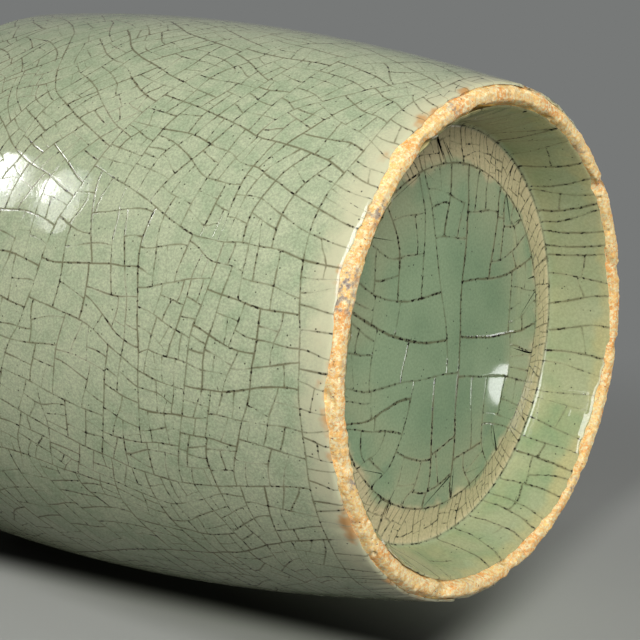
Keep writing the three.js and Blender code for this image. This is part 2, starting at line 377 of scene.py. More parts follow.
class Sheet:
    """A flat sheet of glaze. A kind of sheet knows its real scale and its place on the vase."""

    def __init__(self, seed):
        self.bm = bmesh.new()
        self.strength = self.bm.edges.layers.float.new("strength")
        self.crack = self.bm.verts.layers.float.new("crack")
        self.outward = self.bm.verts.layers.float_vector.new("outward")
        self.glazed = self.bm.faces.layers.int.new("glazed")
        self.rng = random.Random(seed)
        self.reach = CRACK_REACH

    def snapped(self, edge, start, share, scale):
        """A point on an edge, or the end that is already close to it."""
        length = edge.calc_length() * scale
        if share * length < SNAP:
            return start
        if (1 - share) * length < SNAP:
            return edge.other_vert(start)
        return bmesh.utils.edge_split(edge, start, share)[1]

    def crossings(self, cell, middle, along):
        """Where a straight line through a place crosses a cell's outline."""
        found = []
        for loop in cell.loops:
            start, end = loop.vert, loop.link_loop_next.vert
            a = (start.co - middle).xy.cross(along)
            b = (end.co - middle).xy.cross(along)
            if a * b < 0:
                found.append((loop.edge, start, a / (a - b)))
        return found

    def crack_cell(self, cell, crossings, strength):
        """One crack across a cell. It bends to meet the older ones squarely. Returns both halves."""
        if len(crossings) != 2:
            return []
        ways = [(edge.verts[1].co - edge.verts[0].co).xy.normalized() for edge, _, _ in crossings]
        scale = self.scale_at(cell.verts[0].co)
        ends = [self.snapped(*crossing, scale) for crossing in crossings]
        if ends[0] == ends[1] or ends[0] in [e.other_vert(ends[1]) for e in ends[1].link_edges]:
            return []
        span = ends[1].co - ends[0].co
        pulls = []
        for end, way, towards in zip(ends, ways, (span.xy, -span.xy)):
            square = Vector((-way.y, way.x))
            square *= 1 if square.dot(towards) > 0 else -1
            lead = towards.normalized().lerp(square, SQUARENESS) * span.length * 0.36
            pulls.append(end.co + lead.to_3d())
        parts = int(span.length * scale / CRACK_STEP) + 1
        path = interpolate_bezier(ends[0].co, *pulls, ends[1].co, parts + 1)[1:-1]
        outline = [v.co.xy for v in cell.verts]
        if not all(inside(point, outline) for point in path):
            path = []
        half = bmesh.utils.face_split(cell, *ends, coords=path)[0]
        for edge in set(half.edges) & set(cell.edges):
            edge[self.strength] = strength
        return [cell, half]

    def longest_way(self, cell, across):
        """The way in which a cell is longest. Across counts for more where cracks stand upright."""
        best, way = 0.0, None
        for i in range(8):
            turned = Vector((math.cos(math.pi * i / 8), math.sin(math.pi * i / 8)))
            spread = [v.co.xy.dot(turned) for v in cell.verts]
            aligned = turned.dot(self.round_at(cell.verts[0].co))
            reach = (max(spread) - min(spread)) * (1 + (across - 1) * aligned * aligned)
            if reach > best:
                best, way = reach, turned
        return best, way

    def crackle(self, cells, wanted_at):
        """Cuts every cell across its longest way until it is small enough, so old cracks run longest."""
        waiting = list(cells)
        while waiting:
            cell = waiting.pop()
            middle = cell.calc_center_median_weighted()
            area = cell.calc_area() * self.scale_at(middle) ** 2
            wanted, across = wanted_at(middle)
            if area < wanted * self.rng.uniform(0.6, 1.6):
                continue
            reach, way = self.longest_way(cell, across)
            shifted = (middle.xy + way * reach * self.rng.uniform(-0.16, 0.16) / across).to_3d()
            strength = self.rng.uniform(0.38, 0.85) + 0.25 * smooth_step(wanted, wanted * 10, area)
            best, chosen = -math.inf, []
            free = 1.0 + smooth_step(150 * MM * MM, 900 * MM * MM, area)
            for step in range(-4, 5):
                slant = step * 8 * free + self.rng.uniform(-4, 4)
                along = Vector((-way.y, way.x))
                along.rotate(Matrix.Rotation(math.radians(slant), 2))
                found = self.crossings(cell, shifted, along)
                if len(found) == 2:
                    ways = [(e.verts[1].co - e.verts[0].co).xy.normalized() for e, _, _ in found]
                    square = [w.cross(along) ** 2 for w in ways]
                    if min(square) < 0.15:
                        continue
                    fit = sum(square) / free + min(square) - abs(slant) / 90 + self.rng.uniform(0, 0.12)
                    if fit > best:
                        best, chosen = fit, found
            waiting.extend(self.crack_cell(cell, chosen, strength))

    def divide_cracks(self):
        """Adds points along every crack, so that it can bend."""
        for edge in self.bm.edges[:]:
            start, end = edge.verts
            middle = (start.co + end.co) / 2
            parts = int(edge.calc_length() * self.scale_at(middle) / CRACK_STEP) + 1
            rest = edge
            for left in range(parts, 1, -1):
                new_edge, vert = bmesh.utils.edge_split(rest, start, 1 / left)
                rest = new_edge if end in new_edge.verts else rest
                start = vert

    def wander(self, calm_at):
        """Bends the straight cracks by noise that closes round the vase."""
        for vert in self.bm.verts:
            calm = calm_at(vert.co)
            if calm:
                place = self.laid(vert.co)[0]
                drift = Vector((0, 0))
                for wavelength, seed, reach in WANDERING:
                    drift += drift_at(place, wavelength * MM, seed) * reach * MM
                vert.co.xy += drift * calm / self.scale_at(vert.co)

    def width_of(self, face):
        """A cell's real width, as that of a long strip with its area and outline."""
        return 2 * face.calc_area() / face.calc_perimeter() * self.scale_at(face.verts[0].co)

    def join_slivers(self):
        """Takes out cracks that leave a cell with a very sharp corner or with hardly any width."""
        for face in self.bm.faces[:]:
            if not face.is_valid:
                continue
            narrow = self.width_of(face) < NARROWEST
            loops = [loop for loop in face.loops if narrow or loop.calc_angle() < SHARPEST]
            edges = [e for loop in loops for e in (loop.edge, loop.link_loop_prev.edge)]
            edges = [e for e in edges if len(e.link_faces) == 2]
            if edges:
                weakest = min(edges, key=lambda e: e[self.strength])
                bmesh.utils.face_join(weakest.link_faces[:])

    def open_cracks(self):
        """Gives each cell a rim: the crack's strength on its outer edge, and 0 on its inner one."""
        self.join_slivers()
        bm = self.bm
        on_cracks = set(bm.verts)
        for vert in bm.verts:
            vert[self.crack] = max(edge[self.strength] for edge in vert.link_edges)
        groups = {}
        for face in bm.faces:
            scale = self.scale_at(face.calc_center_median())
            small = self.width_of(face) < SMALL_CELL
            groups.setdefault((round(math.log(scale) * 12), small), []).append(face)
        for (level, small), faces in sorted(groups.items()):
            reach = self.reach / math.exp(level / 12) * (0.5 if small else 1.0)
            bmesh.ops.inset_individual(
                bm, faces=faces, thickness=reach, depth=0, use_even_offset=True
            )
        for vert in bm.verts:
            if vert not in on_cracks:
                vert[self.crack] = 0.0


def add_border_points(bm, on_border, key, spot_at, wanted, around=math.inf):
    """Splits a border's edges so that it has a point at each wanted place along it."""
    apart = 2 * NEAR
    for edge in [e for e in bm.edges if all(on_border(v.co) for v in e.verts)]:
        start, end = sorted(edge.verts, key=lambda v: key(v.co))
        low, high = key(start.co), key(end.co)
        if high - low > around / 2:
            start, end, low, high = end, start, high - around, low
        rest, reached = edge, low
        for place in wanted:
            if reached + apart < place < high - apart:
                share = (place - reached) / (high - reached)
                new_edge, vert = bmesh.utils.edge_split(rest, start, share)
                vert.co = spot_at(place)
                rest = new_edge if end in new_edge.verts else rest
                start, reached = vert, place


class WrapSheet(Sheet):
    """A sheet that is wrapped round the vase along a line. Its joint is at the back."""

    width = 2 * math.pi * UNROLLED_RADIUS

    def __init__(self, line, seed):
        super().__init__(seed)
        self.line = line
        bmesh.ops.create_grid(self.bm, x_segments=1, y_segments=1, size=0.5)
        bmesh.ops.scale(self.bm, vec=(self.width, line.end, 1), verts=self.bm.verts)
        bmesh.ops.translate(self.bm, vec=(0, line.end / 2, 0), verts=self.bm.verts)

    def scale_at(self, spot):
        return self.line.at(spot.y).x / UNROLLED_RADIUS

    def round_at(self, spot):
        return Vector((1, 0))

    def laid(self, spot):
        angle = spot.x / UNROLLED_RADIUS - math.pi / 2
        point = self.line.at(spot.y)
        facing = self.line.outward(spot.y, point.x)
        cos, sin = math.cos(angle), math.sin(angle)
        place = Vector((point.x * cos, point.x * sin, point.y))
        return place, Vector((facing.x * cos, facing.x * sin, facing.y))

    def ring(self, run, strength):
        """A crack all the way round, before the others."""
        cell = next(
            f for f in self.bm.faces if min(v.co.y for v in f.verts) < run < max(v.co.y for v in f.verts)
        )
        self.crack_cell(cell, self.crossings(cell, Vector((0, run, 0)), Vector((1, 0))), strength)

    def match_joint(self):
        """Gives both sides of the joint the same points."""
        ends = (-self.width / 2, self.width / 2)
        points = [sorted(v.co.y for v in self.bm.verts if abs(v.co.x - x) < NEAR) for x in ends]
        for x, wanted in zip(ends, reversed(points)):
            add_border_points(
                self.bm,
                lambda co: abs(co.x - x) < NEAR,
                lambda co: co.y,
                lambda y: Vector((x, y, 0)),
                wanted,
            )

    def cut_rows(self):
        """Cuts the cells where the surface bends, so that they follow it."""
        columns = [self.width * (i / COLUMNS - 0.5) for i in range(-6, COLUMNS + 7)]
        cut_across(self.bm, self.bm.faces[:], columns, 0)
        cut_across(self.bm, self.bm.faces[:], self.line.bends(math.radians(9), 11 * MM), 1)


def crossings_of(face, value, axis):
    """How often a face's outline crosses a value of X or Y."""
    sides = [v.co[axis] > value for v in face.verts]
    return sum(side != sides[i - 1] for i, side in enumerate(sides))


def cut_across(bm, faces, values, axis):
    """Cuts faces along some values of X or Y, the middle one first."""
    if not values or not faces:
        return
    half = len(values) // 2
    value = values[half]
    low, high, crossing = [], [], []

    def sort(face):
        spots = [v.co[axis] for v in face.verts]
        side = low if max(spots) < value + NEAR else high if min(spots) > value - NEAR else crossing
        side.append(face)

    for face in faces:
        sort(face)
    bent = [face for face in crossing if crossings_of(face, value, axis) > 2]
    if bent:
        simple = set(crossing) - set(bent)
        crossing[:] = [face for face in crossing if face in simple]
        for face in bmesh.ops.triangulate(bm, faces=bent)["faces"]:
            sort(face)
    edges = dict.fromkeys(edge for face in crossing for edge in face.edges)
    for edge in edges:
        start, end = (v.co[axis] - value for v in edge.verts)
        if start * end < 0 and min(abs(start), abs(end)) > NEAR:
            bmesh.utils.edge_split(edge, edge.verts[0], start / (start - end))
    for face in crossing:
        ends = [v for v in face.verts if abs(v.co[axis] - value) <= NEAR]
        halves = [face]
        if len(ends) == 2:
            beside = [e for e in ends[0].link_edges if face in e.link_faces]
            if not any(ends[1] in e.verts for e in beside):
                halves.append(bmesh.utils.face_split(face, *ends)[0])
        for piece in halves:
            (low if piece.calc_center_median()[axis] < value else high).append(piece)
    cut_across(bm, low, values[:half], axis)
    cut_across(bm, high, values[half + 1 :], axis)


class FloorSheet(Sheet):
    """The flat round sheet on the recess's floor."""

    def __init__(self, seed):
        super().__init__(seed)
        bmesh.ops.create_circle(self.bm, cap_ends=True, segments=COLUMNS, radius=BAND_RADIUS)

    def scale_at(self, spot):
        return 1.0

    def round_at(self, spot):
        return Vector((-spot.y, spot.x)).normalized() if spot.xy.length > MM else Vector((1, 0))

    def laid(self, spot):
        return Vector((spot.x, spot.y, FLOOR_UNDERSIDE)), Vector((0, 0, -1))


def body_sheet():
    """The glaze from the foot's edge up the whole vase, over its lip and down to the throat."""
    line = Line([*barrel_line(), *shoulder_line(), *neck_line()[1:], *dish_line()[1:]])
    sheet = WrapSheet(line, 11)
    foot_ring = line.run_at(lambda p: p.y > GLAZE_LINE + 4.2 * MM)

    def wanted_at(spot):
        height = line.at(spot.y).y
        if spot.y < foot_ring:
            return 15 * MM * MM, 1.3
        patch = noise_at(spot, 26 * MM, 5.0)
        above = smooth_step(SEAM_HEIGHT, ROOT_HEIGHT, height)
        return (17 + 15 * patch + 4 * above) * MM * MM, 1.0

    sheet.ring(foot_ring, 0.75)
    sheet.crackle(sheet.bm.faces[:], wanted_at)
    sheet.divide_cracks()
    sheet.match_joint()

    def calm_at(spot):
        return smooth_step(0, 9 * MM, spot.y) * smooth_step(0, 12 * MM, line.end - spot.y)

    sheet.wander(calm_at)
    sheet.open_cracks()
    sheet.cut_rows()
    return sheet


def part_of_sheet(sheet, low, high):
    """A copy of the part of a sheet between two runs, laid on the vase and joined behind."""
    bm = sheet.bm.copy()
    outside = [f for f in bm.faces if not low < f.calc_center_median().y < high]
    bmesh.ops.delete(bm, geom=outside, context="FACES")
    lay_down(bm, sheet)
    close_joint(bm)
    return bm


def close_joint(bm):
    """Joins the two sides of a sheet behind the vase, and closes any pinhole that is left."""
    behind = [v for v in bm.verts if v.is_boundary and v.co.y > 0 and abs(v.co.x) < 9 * MM]
    bmesh.ops.remove_doubles(bm, verts=behind, dist=0.005 * MM)
    bmesh.ops.holes_fill(bm, edges=[e for e in bm.edges if e.is_boundary], sides=60)


def lay_down(bm, sheet):
    """Moves a sheet's points onto the vase, and keeps the direction that its surface faces."""
    outward = bm.verts.layers.float_vector["outward"]
    for vert in bm.verts:
        vert.co, vert[outward] = sheet.laid(vert.co)


def border(bm, where):
    """The open edges whose ends both pass a test."""
    return [e for e in bm.edges if e.is_boundary and all(where(v.co) for v in e.verts)]


def extend_border(bm, edges, points):
    """Carries a round border on through points of radius and height. Returns the last one."""
    crack = bm.verts.layers.float["crack"]
    for radius, height in points:
        made = bmesh.ops.extrude_edge_only(bm, edges=edges)["geom"]
        edges = [g for g in made if isinstance(g, bmesh.types.BMEdge)]
        for vert in (g for g in made if isinstance(g, bmesh.types.BMVert)):
            vert.co.xy = vert.co.xy.normalized() * radius
            vert.co.z = height
            vert[crack] = 0.0
    return edges


def finished_piece(name, bm, glazed_faces, material, node):
    """Turns a mesh into the piece of the vase that stands for a node of the frame."""
    for face in glazed_faces:
        face[bm.faces.layers.int["glazed"]] = 1
    bmesh.ops.recalc_face_normals(bm, faces=bm.faces)
    if bm.calc_volume(signed=True) < 0:
        bmesh.ops.reverse_faces(bm, faces=bm.faces)
    mesh = bpy.data.meshes.new(name)
    bm.to_mesh(mesh)
    bm.free()
    mesh.shade_smooth()
    if glazed_faces:
        outward = [v.vector.copy() for v in mesh.attributes["outward"].data]
        glazed = [v.value for v in mesh.attributes["glazed"].data]
        mesh.normals_split_custom_set(
            [
                outward[vert] if glazed[poly.index] else Vector()
                for poly in mesh.polygons
                for vert in poly.vertices
            ]
        )
    for spare in ("outward", "glazed", "strength"):
        if spare in mesh.attributes:
            mesh.attributes.remove(mesh.attributes[spare])
    mesh.materials.append(material)
    piece = bpy.data.objects.new(name, mesh)
    bpy.context.scene.collection.objects.link(piece)
    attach(piece, "root")
    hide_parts(node)
    return piece


def waved_glaze_edge(bm, edge_height, inner=False):
    """Lets the glaze end in an uneven line, with a few places where it has run or crawled back."""
    for vert in bm.verts:
        fade = 1 - smooth_step(edge_height + 0.4 * MM, edge_height + 3.5 * MM, vert.co.z)
        if fade > 0:
            place = Vector((*vert.co.xy, 20 * MM if inner else 0))
            wave = noise_at(place, 11 * MM, 4.0) * 0.7 + noise_at(place, 3.2 * MM, 8.0) * 0.45
            torn = noise_at(place, 1.4 * MM, 15.0) * 0.4
            crawl = max(0.0, noise_at(place, 7 * MM, 12.0) - 0.3) * (0.8 if inner else 3.0)
            vert.co.z += fade * (wave + torn + crawl) * MM


def vase_body(materials):
    """The barrel, shoulder, neck and dish, which share one network of cracks."""
    sheet = body_sheet()
    line = sheet.line
    seams = [
        line.run_at(lambda p: p.y >= height - NEAR / 10)
        for height in (SEAM_HEIGHT, ROOT_HEIGHT, THROAT_HEIGHT)
    ]
    cut_across(sheet.bm, sheet.bm.faces[:], seams, 1)
    shoulder_inner = [
        (BELLY_RADIUS - WALL, SEAM_HEIGHT),
        (BELLY_RADIUS - WALL, CORNER_BASE),
        (BELLY_RADIUS - WALL * 1.7, CORNER_TOP - WALL * 1.9),
        (BELLY_RADIUS - CORNER_RADIUS, CORNER_TOP - WALL),
        (ROOT_RADIUS, ROOT_HEIGHT - ROOT_RISE - WALL),
        (ROOT_RADIUS - WALL, ROOT_HEIGHT - WALL),
        (ROOT_RADIUS - WALL, ROOT_HEIGHT),
    ]
    heights = [FLOOR_TOP, *(FLOOR_TOP + (SEAM_HEIGHT - FLOOR_TOP) * i / 5 for i in range(1, 6))]
    barrel_inner = [
        (barrel_radius(RECESS_DEPTH) - GLAZE_COAT, RECESS_DEPTH),
        (FLOOR_RADIUS + 0.3 * MM, RECESS_DEPTH),
        (FLOOR_RADIUS + 0.3 * MM, FLOOR_TOP),
        *((barrel_radius(h) - WALL, h) for h in heights),
    ]
    inner_walls = {
        "barrel": barrel_inner,
        "shoulder": shoulder_inner,
        "neck": [(r - WALL, h) for r, h in neck_line()[::8]],
        "dish_mouth": [],
    }
    stretches = zip([0, *seams], [*seams, line.end])
    for (name, inner), stretch in zip(inner_walls.items(), stretches):
        bm = part_of_sheet(sheet, *stretch)
        glazed = set(bm.faces)
        ends = [line.at(run).y for run in stretch]
        bottom, top = (border(bm, lambda co: abs(co.z - end) < 0.3 * MM) for end in ends)
        if name == "barrel":
            waved_glaze_edge(bm, GLAZE_LINE)
        last = extend_border(bm, bottom, inner) if inner else []
        bmesh.ops.bridge_loops(bm, edges=list({*last, *top}))
        finished_piece(name + "_glaze", bm, glazed, materials["glaze"], name)
    sheet.bm.free()


def recess_piece(materials):
    """The recess: its glazed wall, the band round its floor, the floor, and the disc behind them."""
    wrap = WrapSheet(Line(recess_line(), -1), 23)
    line = wrap.line
    corner = line.run_at(lambda p: p.x < RECESS_RADIUS - 0.35 * MM)

    def wall_cells(spot):
        if spot.y < corner:
            return 52 * MM * MM, 1.9
        return (6.5 + 5 * noise_at(spot, 25 * MM, 3.0)) * MM * MM, 1.3

    def wall_calm(spot):
        return 0.25 * smooth_step(0, 5 * MM, spot.y) * smooth_step(0, 5 * MM, corner - spot.y)

    wrap.ring(corner, 0.6)
    wrap.crackle(wrap.bm.faces[:], wall_cells)
    wrap.divide_cracks()
    wrap.match_joint()

    disc = FloorSheet(5)

    def disc_cells(spot):
        edge = smooth_step(12 * MM, 22 * MM, spot.xy.length + 5 * MM * noise_at(spot, 14 * MM, 2.0))
        return (190 - 156 * edge) * MM * MM, 1.0 + 0.3 * edge

    def on_rim(co):
        return co.xy.length > BAND_RADIUS - 0.25 * MM

    disc.crackle(disc.bm.faces[:], disc_cells)
    disc.divide_cracks()
    for vert in disc.bm.verts:
        if on_rim(vert.co) and any(e.is_boundary for e in vert.link_edges):
            vert.co.xy = vert.co.xy.normalized() * BAND_RADIUS

    def run_round(co):
        turn = math.atan2(co.y, co.x) + math.pi / 2
        return (turn - 2 * math.pi * (turn > math.pi)) * UNROLLED_RADIUS

    def rim_spot(run):
        angle = run / UNROLLED_RADIUS - math.pi / 2
        return Vector((math.cos(angle), math.sin(angle), 0)) * BAND_RADIUS

    def at_end(co):
        return abs(co.y - line.end) < NEAR

    columns = [wrap.width * (i / COLUMNS - 0.5) for i in range(1, COLUMNS)]
    wrap_points = [v.co.x for v in wrap.bm.verts if at_end(v.co)]
    rim = [v for v in disc.bm.verts if any(e.is_boundary for e in v.link_edges)]
    wanted = sorted([*columns, *wrap_points, *(run_round(v.co) for v in rim)])
    add_border_points(
        wrap.bm, at_end, lambda co: co.x, lambda x: Vector((x, line.end, 0)), wanted
    )
    add_border_points(
        disc.bm, lambda co: co.xy.length > BAND_RADIUS - NEAR, run_round, rim_spot, wanted, wrap.width
    )
    for edge in wrap.bm.edges:
        if all(at_end(v.co) for v in edge.verts):
            edge[wrap.strength] = 0.9
    for edge in disc.bm.edges:
        if edge.is_boundary:
            edge[disc.strength] = 0.9
    wrap.wander(wall_calm)
    disc.wander(lambda spot: 0.6 * smooth_step(0, 7 * MM, BAND_RADIUS - spot.xy.length))
    wrap.reach = disc.reach = WIDE_CRACK_REACH
    wrap.open_cracks()
    disc.open_cracks()
    wrap.cut_rows()
    lay_down(wrap.bm, wrap)
    lay_down(disc.bm, disc)
    middle = bpy.data.meshes.new("recess_middle")
    disc.bm.to_mesh(middle)
    disc.bm.free()
    bm = wrap.bm
    bm.from_mesh(middle)
    bpy.data.meshes.remove(middle)
    rim = [v for v in bm.verts if v.is_boundary and v.co.z > FLOOR_UNDERSIDE - 0.01 * MM]
    bmesh.ops.remove_doubles(bm, verts=rim, dist=0.02 * MM)
    close_joint(bm)
    glazed = set(bm.faces)
    waved_glaze_edge(bm, INNER_GLAZE_LINE, inner=True)
    behind = [
        (RECESS_RADIUS + 1.35 * MM + GLAZE_COAT, RECESS_DEPTH / 2),
        (RECESS_RADIUS + 0.3 * MM + GLAZE_COAT, RECESS_DEPTH),
        (FLOOR_RADIUS, RECESS_DEPTH),
        (FLOOR_RADIUS, FLOOR_TOP),
    ]
    last = extend_border(bm, border(bm, lambda co: co.z < 5 * MM), behind)
    bmesh.ops.edgeloop_fill(bm, edges=last)
    finished_piece("recess_glaze_disc", bm, glazed, materials["recess"], "floor_disc")


def clay_profile():
    """The bare ring's section: fine where it shows, plain where glaze covers it."""
    inner = FOOT_RADIUS - RING_WIDTH + 0.55 * MM
    outer = barrel_radius(GLAZE_LINE) - GLAZE_COAT - 0.05 * MM
    step = 0.34 * MM
    outside = [
        (barrel_radius(h) - GLAZE_COAT - 0.05 * MM, h) for h in (RECESS_DEPTH, 9 * MM, 6 * MM, 4.2 * MM)
    ]
    outer_side = quadratic((outer + 0.4 * MM, 3.4 * MM), (outer, 0.1 * MM), (outer - 1.3 * MM, 0), 13)
    flat = [
        (outer - 1.3 * MM - step * i, 0.0)
        for i in range(1, int((outer - inner - 2.4 * MM) / step))
    ]
    inner_side = quadratic(
        (inner + 1.1 * MM, 0), (inner, 0.1 * MM), (inner - 0.35 * MM, 3.2 * MM), 12
    )
    inside = [
        (inner - 0.9 * MM, 5 * MM),
        (RECESS_RADIUS + 1.45 * MM + GLAZE_COAT, RECESS_DEPTH / 2),
        (RECESS_RADIUS + 0.4 * MM + GLAZE_COAT, RECESS_DEPTH),
    ]
    return [*outside, *outer_side, *flat, *inner_side, *inside]


def foot_piece(materials):
    """The turned foot ring of bare clay, worn and chipped where it stands."""
    bm = bmesh.new()
    section = [bm.verts.new((r, 0, h)) for r, h in clay_profile()]
    edges = [bm.edges.new(pair) for pair in zip(section, section[1:] + section[:1])]
    bmesh.ops.spin(
        bm,
        geom=[*section, *edges],
        cent=(0, 0, 0),
        axis=(0, 0, 1),
        angle=2 * math.pi,
        steps=CLAY_STEPS,
        use_merge=True,
        use_duplicate=False,
    )
    bmesh.ops.recalc_face_normals(bm, faces=bm.faces)
    bm.normal_update()
    moves = []
    for vert in bm.verts:
        shown = 1 - smooth_step(3.2 * MM, 4.4 * MM, vert.co.z)
        if shown:
            place = vert.co
            grain = noise_at(place, 0.85 * MM, 1.0) * 0.13 + noise_at(place, 0.4 * MM, 2.0) * 0.08
            lumps = noise_at(place, 3.4 * MM, 3.0) * 0.22
            chips = max(0.0, noise_at(place, 5 * MM, 6.0) - 0.22) * 1.6
            pits = max(0.0, noise_at(place, 1.3 * MM, 9.0) - 0.42) * 1.4
            moves.append((vert, vert.normal * shown * (grain + lumps - chips - pits - 0.12) * MM))
    for vert, move in moves:
        vert.co += move
        vert.co.z = max(vert.co.z, 0.0)
    finished_piece("bare_foot_ring", bm, [], materials["clay"], "foot_ring")


def ear_outline(points, steps=8):
    """An outline in millimetres from the axis and from the ears' height, out of curved stretches."""
    spots = [points[0]]
    for pull_x, pull_y, x, y in points[1:]:
        spots += quadratic(spots[-1], (pull_x, pull_y), (x, y), steps)[1:]
    return [(WAIST_RADIUS / MM + x * EAR_LENGTH / MM / 100, y * EAR_LENGTH / MM / 100) for x, y in spots]


def add_slab(bm, points, thickness, rounding):
    """A thick outline that stands beside the neck. Its edge is rounded outside the outline."""
    curve = bpy.data.curves.new("outline", "CURVE")
    curve.dimensions, curve.fill_mode = "2D", "BOTH"
    curve.extrude = (thickness / 2 - rounding) / MM
    curve.bevel_depth, curve.bevel_resolution = rounding / MM, 3
    spots = ear_outline(points)
    spline = curve.splines.new("POLY")
    spline.points.add(len(spots) - 1)
    for point, spot in zip(spline.points, spots):
        point.co = (*spot, 0, 1)
    spline.use_cyclic_u = True
    carrier = bpy.data.objects.new("outline", curve)
    mesh = bpy.data.meshes.new_from_object(carrier)
    upright = Matrix.Rotation(math.pi / 2, 4, "X") @ Matrix.Scale(MM, 4)
    mesh.transform(Matrix.Translation((0, 0, EAR_HEIGHT)) @ upright)
    bm.from_mesh(mesh)
    bpy.data.objects.remove(carrier)
    bpy.data.curves.remove(curve)
    bpy.data.meshes.remove(mesh)


def one_skin(bm, voxel):
    """Joins overlapping solids under one even skin."""
    rough = bpy.data.meshes.new("rough")
    bm.to_mesh(rough)
    bm.free()
    carrier = bpy.data.objects.new("rough", rough)
    bpy.context.scene.collection.objects.link(carrier)
    remesh = carrier.modifiers.new("one_skin", "REMESH")
    remesh.mode, remesh.voxel_size = "VOXEL", voxel
    depsgraph = bpy.context.evaluated_depsgraph_get()
    whole = bpy.data.meshes.new_from_object(carrier.evaluated_get(depsgraph))
    bpy.data.objects.remove(carrier)
    bpy.data.meshes.remove(rough)
    bm = bmesh.new()
    bm.from_mesh(whole)
    bpy.data.meshes.remove(whole)
    return bm


def neck_radius_at(height, line):
    """The neck's outer radius at a height of its line."""
    for (r0, z0), (r1, z1) in zip(line, line[1:]):
        if z0 <= height <= z1:
            return r0 + (r1 - r0) * (height - z0) / max(1e-9, z1 - z0)
    return THROAT_RADIUS


def groove(place, apart):
    """1 in the middle of each of a row of grooves, and 0 between them."""
    return max(0.0, 1 - 2.2 * abs(math.sin(math.pi * place / apart))) ** 1.5


def scales(out, up, width, height):
    """Grooves round the lower ends of overlapping feathers."""
    row = math.floor(up / height)
    across = out / width + 0.5 * (row % 2)
    sag = 0.55 * math.cos(2 * math.pi * across)
    within = up / height - row
    rim = abs(within - 0.35 - 0.3 * sag)
    return max(0.0, 1 - rim / 0.22) ** 1.3


def plumage(out, up, raised):
    """How deep a groove of the moulded plumage is, from 0 to 1, at millimetres out and up."""
    if raised:
        across = out * 0.96 - up * 0.28
        shoulder = smooth_step(-7.5, -5.5, up)
        return max(groove(across, 1.9) * (1 - shoulder), scales(out, up, 2.6, 2.3) * shoulder)
    if up > 20:
        return groove(out - 0.55 * (up - 20), 1.7)
    if up > 9.5:
        beak = math.exp(-(((up - 12.4 - 0.12 * (out - 20)) / 0.35) ** 2)) * smooth_step(15.5, 17, out)
        return beak + groove(up + out * 0.9, 2.2) * smooth_step(9, 7.5, out)
    if up > -10:
        return scales(out, up, 2.9, 2.6) * smooth_step(-10, -8, up) * smooth_step(10, 8, up)
    bend = out - 5.5 * math.exp((-up - 28) / 9) * smooth_step(2, 14, out)
    return groove(bend, 2.5) * smooth_step(-10, -13, up)


def phoenix_ears(materials):
    """Two moulded phoenixes on the neck, each with a raised wing, plumage and eyes."""
    neck = neck_line()
    for side, name in ((1, "phoenix_ear_right"), (-1, "phoenix_ear_left")):
        bm = bmesh.new()
        add_slab(bm, PHOENIX, EAR_THICKNESS, EAR_ROUND)
        add_slab(bm, WING, EAR_THICKNESS + 2 * WING_THICKNESS, WING_ROUND)
        out, up = ear_outline([EYE])[0]
        eye = Vector((out, 0, up)) * MM + Vector((0, 0, EAR_HEIGHT))
        for face in (-1, 1):
            place = eye + Vector((0, face * (EAR_THICKNESS / 2 - 0.5 * MM), 0))
            bmesh.ops.create_uvsphere(
                bm, u_segments=24, v_segments=16, radius=EYE_RADIUS, matrix=Matrix.Translation(place)
            )
        bm = one_skin(bm, EAR_VOXEL)
        for _ in range(2):
            bmesh.ops.smooth_vert(
                bm, verts=bm.verts, factor=0.5, use_axis_x=True, use_axis_y=True, use_axis_z=True
            )
        bm.normal_update()
        pooled = bm.verts.layers.float.new("pooled")
        raised_from = EAR_THICKNESS / 2 + WING_THICKNESS * 0.55
        for vert in bm.verts:
            out, up = (vert.co.x - WAIST_RADIUS) / MM, (vert.co.z - EAR_HEIGHT) / MM
            from_eye = (vert.co.xz - eye.xz).length
            shown = smooth_step(0.35, 0.8, abs(vert.normal.y))
            depth = plumage(out, up, abs(vert.co.y) > raised_from)
            ring = math.exp(-(((from_eye - 2.2 * MM) / (0.35 * MM)) ** 2))
            depth *= smooth_step(2.2 * MM, 3 * MM, from_eye)
            vert[pooled] = min(1.0, max(depth, ring) * shown)
        moves = [
            (v, v.normal * (0.1 * MM * noise_at(v.co, 3.5 * MM, side) - PLUMAGE_DEPTH * v[pooled]))
            for v in bm.verts
        ]
        for vert, move in moves:
            vert.co += move
        for vert in bm.verts:
            seat = neck_radius_at(vert.co.z, neck) + 0.05 * MM
            if vert.co.xy.length < seat:
                vert.co.x = math.sqrt(max(0.0, seat * seat - vert.co.y * vert.co.y))
        if side < 0:
            turn = Matrix.Rotation(math.pi, 3, "Z")
            bmesh.ops.rotate(bm, cent=(0, 0, 0), matrix=turn, verts=bm.verts)
        finished_piece(name + "_glaze", bm, [], materials["ear"], name)


# Finishes


def srgb(red, green, blue):
    """A colour as light, from its values between 0 and 255 on a screen."""
    values = [c / 255 for c in (red, green, blue)]
    return (*((c / 12.92 if c < 0.04045 else ((c + 0.055) / 1.055) ** 2.4) for c in values), 1)


